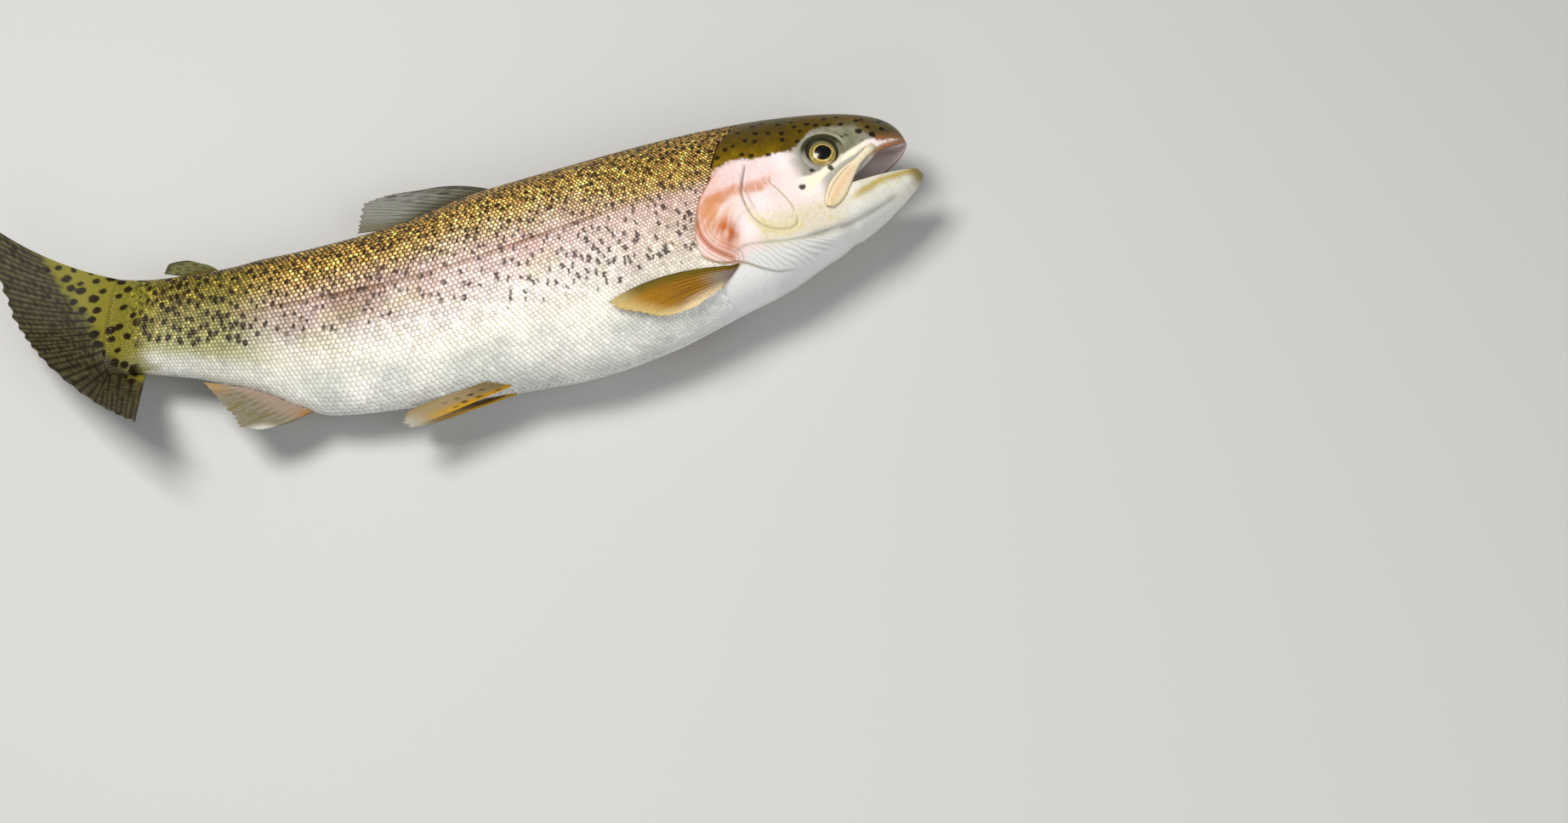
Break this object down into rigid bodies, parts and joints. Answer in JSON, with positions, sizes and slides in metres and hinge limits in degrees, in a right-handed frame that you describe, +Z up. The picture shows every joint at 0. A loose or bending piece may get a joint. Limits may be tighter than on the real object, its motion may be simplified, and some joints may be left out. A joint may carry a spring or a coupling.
{
  "type": "rainbow trout",
  "caption": "Still, life-size rainbow trout lying on its left side, mouth a little open, right side up, with all its fins.",
  "frame": {"origin": "centre of the bounding box's bottom face, on the surface that the fish lies on", "axes": "+X from the tail to the head, +Y from the belly to the back, +Z up, out of the fish's right flank"},
  "size_m": [0.3982, 0.1442, 0.0507],
  "materials": {
    "body_skin": "wet, silvery",
    "head_skin": "wet, smooth",
    "jaw_skin": "wet, smooth",
    "gill_cover": "wet, pearly",
    "eye": "clear, high gloss",
    "tail_skin": "wet, satin",
    "fin": "wet, translucent, ribbed"
  },
  "bodies": {
    "root": {"head": "head_skin", "lower_jaw": "jaw_skin", "maxilla_right": "jaw_skin", "maxilla_left": "jaw_skin", "gill_cover_right": "gill_cover", "gill_cover_left": "gill_cover", "eye_right": "eye", "eye_left": "eye", "trunk_front": "body_skin", "trunk_rear": "body_skin", "tail_stalk": "tail_skin", "tail_fin": "fin", "dorsal_fin": "fin", "adipose_fin": "fin", "anal_fin": "fin", "pelvic_fin_right": "fin", "pelvic_fin_left": "fin", "pectoral_fin_right": "fin", "pectoral_fin_left": "fin"}
  },
  "joints": []
}
